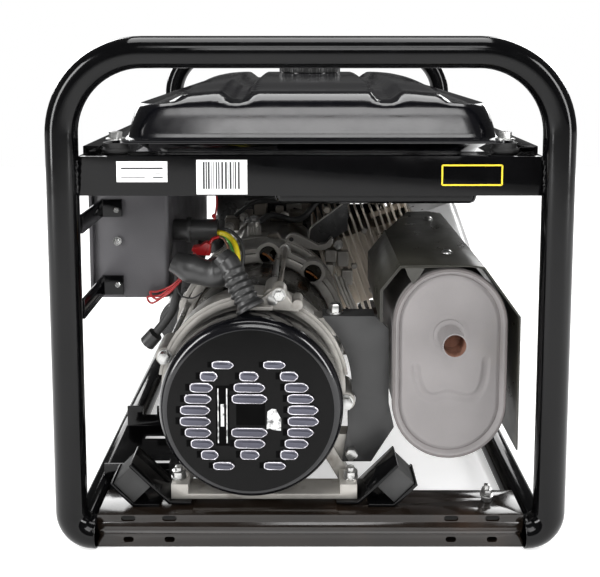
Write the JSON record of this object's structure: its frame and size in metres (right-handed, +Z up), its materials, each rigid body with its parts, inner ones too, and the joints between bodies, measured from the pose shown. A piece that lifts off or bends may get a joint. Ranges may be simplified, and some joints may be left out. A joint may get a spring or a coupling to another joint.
{
  "type": "portable generator",
  "caption": "Open-frame portable generator: petrol engine and alternator on rubber mounts in a tube frame, with fuel tank, muffler and socket panel.",
  "frame": {"origin": "bottom centre of the bounding box, on the ground", "axes": "+Z up, +X towards the muffler side, +Y from the alternator end towards the recoil starter end"},
  "size_m": [0.53, 0.68, 0.532],
  "materials": {
    "frame_paint": "gloss black enamel",
    "rubber": "matt",
    "casting": "as cast",
    "steel": "zinc plated",
    "iron": "plain",
    "copper": "enamelled copper",
    "rocker": "polished",
    "muffler_paint": "high temperature matt grey",
    "dark_plate": "satin dark grey",
    "black_plastic": "moulded",
    "panel_paint": "satin"
  },
  "bodies": {
    "set": {"adapter_bell": "casting", "air_filter_box": "black_plastic", "air_filter_cover": "black_plastic", "base_beams": "frame_paint", "base_rails": "frame_paint", "battery_tray": "frame_paint", "blower_housing": "dark_plate", "box_straps": "frame_paint", "cable_boot": "rubber", "cable_sleeve": "rubber", "carburettor": "casting", "control_box": "dark_plate", "crankcase": "casting", "cylinder_block": "casting", "cylinder_head": "casting", "end_bell": "casting", "end_cover": "frame_paint", "exhaust_pipes": "muffler_paint", "fasteners": "steel", "fuel_valve": "black_plastic", "heat_shield": "dark_plate", "hoop_alternator_end": "frame_paint", "hoop_starter_end": "frame_paint", "mount_plates": "frame_paint", "muffler": "muffler_paint", "muffler_bracket": "dark_plate", "panel_face": "panel_paint", "panel_instruments": "black_plastic", "rear_bearing": "steel", "recoil_housing": "dark_plate", "rocker_cover": "rocker", "rubber_mounts": "rubber", "side_rails": "frame_paint", "sockets": "black_plastic", "spark_plug": "black_plastic", "starter_motor": "casting", "stator_core": "iron", "stator_windings": "copper", "tank_crossbars": "frame_paint", "tank_lower": "frame_paint", "tank_upper": "frame_paint", "through_bolts": "steel"},
    "crank": {"crankshaft": "steel", "flywheel": "iron", "flywheel_fan": "black_plastic", "rotor": "iron", "rotor_fan": "black_plastic"},
    "piston_body": {"piston": "casting"},
    "starter_pulley": {"recoil_pulley": "black_plastic"},
    "starter_handle": {"recoil_handle": "black_plastic"},
    "cap": {"fuel_cap": "black_plastic"},
    "choke": {"choke_lever": "black_plastic"},
    "fuel_tap": {"fuel_valve_lever": "black_plastic"},
    "lid_1": {"socket_lid_1": "black_plastic"},
    "lid_2": {"socket_lid_2": "black_plastic"},
    "toggle": {"breaker_toggle": "black_plastic"},
    "key": {"engine_key": "black_plastic"},
    "reset": {"reset_button": "black_plastic"},
    "oil_cap": {"dipstick": "black_plastic"},
    "governor": {"governor_arm": "steel"}
  },
  "joints": [
    {"name": "crank_spin", "type": "hinge", "parent": "set", "child": "crank", "pos_m": [-0.062, 0, 0.149], "axis": [0, 1, 0], "continuous": true},
    {"name": "piston_slide", "type": "slide", "parent": "set", "child": "piston_body", "axis": [0.9397, 0, 0.342], "range_m": [-0.045, 0.008]},
    {"name": "starter_pull", "type": "slide", "parent": "set", "child": "starter_handle", "axis": [0, 1, 0], "range_m": [0, 0.34], "stiffness_N_per_m": 15},
    {"name": "pulley_turn", "type": "hinge", "parent": "set", "child": "starter_pulley", "pos_m": [-0.062, 0.248, 0.149], "axis": [0, 1, 0], "range_deg": [0, 400]},
    {"name": "cap_turn", "type": "hinge", "parent": "set", "child": "cap", "pos_m": [0.002, -0.01, 0.49], "axis": [0, 0, 1], "range_deg": [0, 90]},
    {"name": "choke_turn", "type": "hinge", "parent": "set", "child": "choke", "pos_m": [0.13, 0.15, 0.292], "axis": [1, 0, 0], "range_deg": [0, 55]},
    {"name": "fuel_tap_turn", "type": "hinge", "parent": "set", "child": "fuel_tap", "pos_m": [0.04, 0.11, 0.34], "axis": [1, 0, 0], "range_deg": [0, 90]},
    {"name": "lid_1_swing", "type": "hinge", "parent": "set", "child": "lid_1", "pos_m": [-0.256, -0.12, 0.3305], "axis": [0, 1, 0], "range_deg": [0, 100], "stiffness_Nm_per_rad": 0.01},
    {"name": "lid_2_swing", "type": "hinge", "parent": "set", "child": "lid_2", "pos_m": [-0.256, -0.05, 0.3305], "axis": [0, 1, 0], "range_deg": [0, 100], "stiffness_Nm_per_rad": 0.01},
    {"name": "breaker_flip", "type": "hinge", "parent": "set", "child": "toggle", "pos_m": [-0.248, 0.02, 0.31], "axis": [0, 1, 0], "range_deg": [-44, 0]},
    {"name": "key_turn", "type": "hinge", "parent": "set", "child": "key", "pos_m": [-0.255, 0.07, 0.34], "axis": [1, 0, 0], "range_deg": [0, 60]},
    {"name": "reset_press", "type": "slide", "parent": "set", "child": "reset", "axis": [1, 0, 0], "range_m": [0, 0.003], "stiffness_N_per_m": 300},
    {"name": "oil_cap_turn", "type": "hinge", "parent": "set", "child": "oil_cap", "pos_m": [-0.118, 0.02, 0.205], "axis": [-0.6157, 0, 0.788], "range_deg": [0, 180]},
    {"name": "governor_swing", "type": "hinge", "parent": "set", "child": "governor", "pos_m": [-0.02, 0.125, 0.262], "axis": [0, 1, 0], "range_deg": [-15, 15]}
  ],
  "couplings": [
    {"joint": "pulley_turn", "follows": "starter_pull", "rad_per_m": 20}
  ]
}
